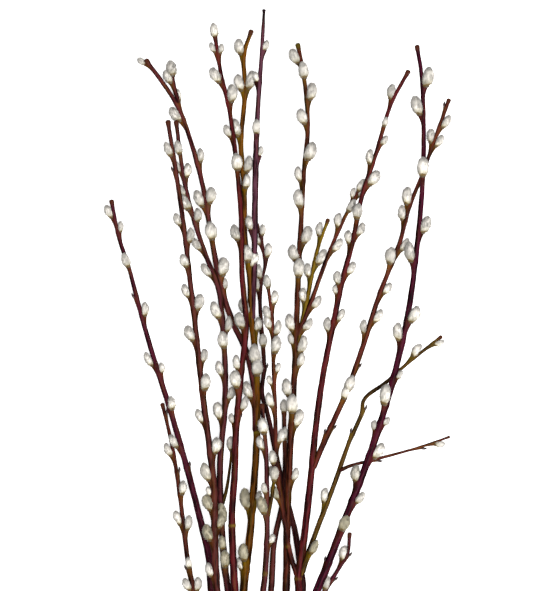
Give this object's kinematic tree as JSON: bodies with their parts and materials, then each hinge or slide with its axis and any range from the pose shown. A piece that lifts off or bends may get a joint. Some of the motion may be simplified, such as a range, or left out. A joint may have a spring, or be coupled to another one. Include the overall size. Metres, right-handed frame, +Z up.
{
  "type": "willow branch bunch",
  "caption": "Bunch of cut willow stems in furry catkin, lying down: bare glossy forked stems that fan out from gathered cut ends, set with silvery catkins.",
  "frame": {"origin": "middle of the bunch's outline, on the surface it lies on", "axes": "+Y from the cut ends to the tips, +X to the right seen from above, +Z up"},
  "size_m": [0.3481, 0.7335, 0.0447],
  "materials": {
    "bark_01": "smooth, slightly glossy purple-maroon bark",
    "bark_02": "smooth, slightly glossy brown-maroon bark",
    "bark_03": "smooth, slightly glossy dark maroon bark",
    "bark_04": "smooth, slightly glossy purple-brown bark",
    "bark_05": "smooth, slightly glossy red bark",
    "bark_06": "smooth, slightly glossy orange-brown bark",
    "bark_07": "smooth, slightly glossy olive-brown bark",
    "bark_08": "smooth, slightly glossy dark maroon bark",
    "bark_09": "smooth, slightly glossy brown bark",
    "bark_10": "smooth, slightly glossy red-brown bark",
    "bark_11": "smooth, slightly glossy purple bark",
    "bark_12": "smooth, slightly glossy maroon bark",
    "bark_13": "smooth, slightly glossy near-black bark",
    "catkin": "silky silver-white hairs, grey towards the tip",
    "bud_scale": "thin dry olive-brown scale",
    "cut_wood": "fresh pale cut wood"
  },
  "bodies": {
    "root": {"branch_01": "bark_01", "branch_02": "bark_02", "branch_03": "bark_03", "branch_04": "bark_04", "branch_05": "bark_05", "branch_06": "bark_06", "branch_07": "bark_07", "branch_08": "bark_08", "branch_09": "bark_09", "branch_10": "bark_10", "branch_11": "bark_11", "branch_12": "bark_12", "branch_13": "bark_13"}
  },
  "joints": []
}
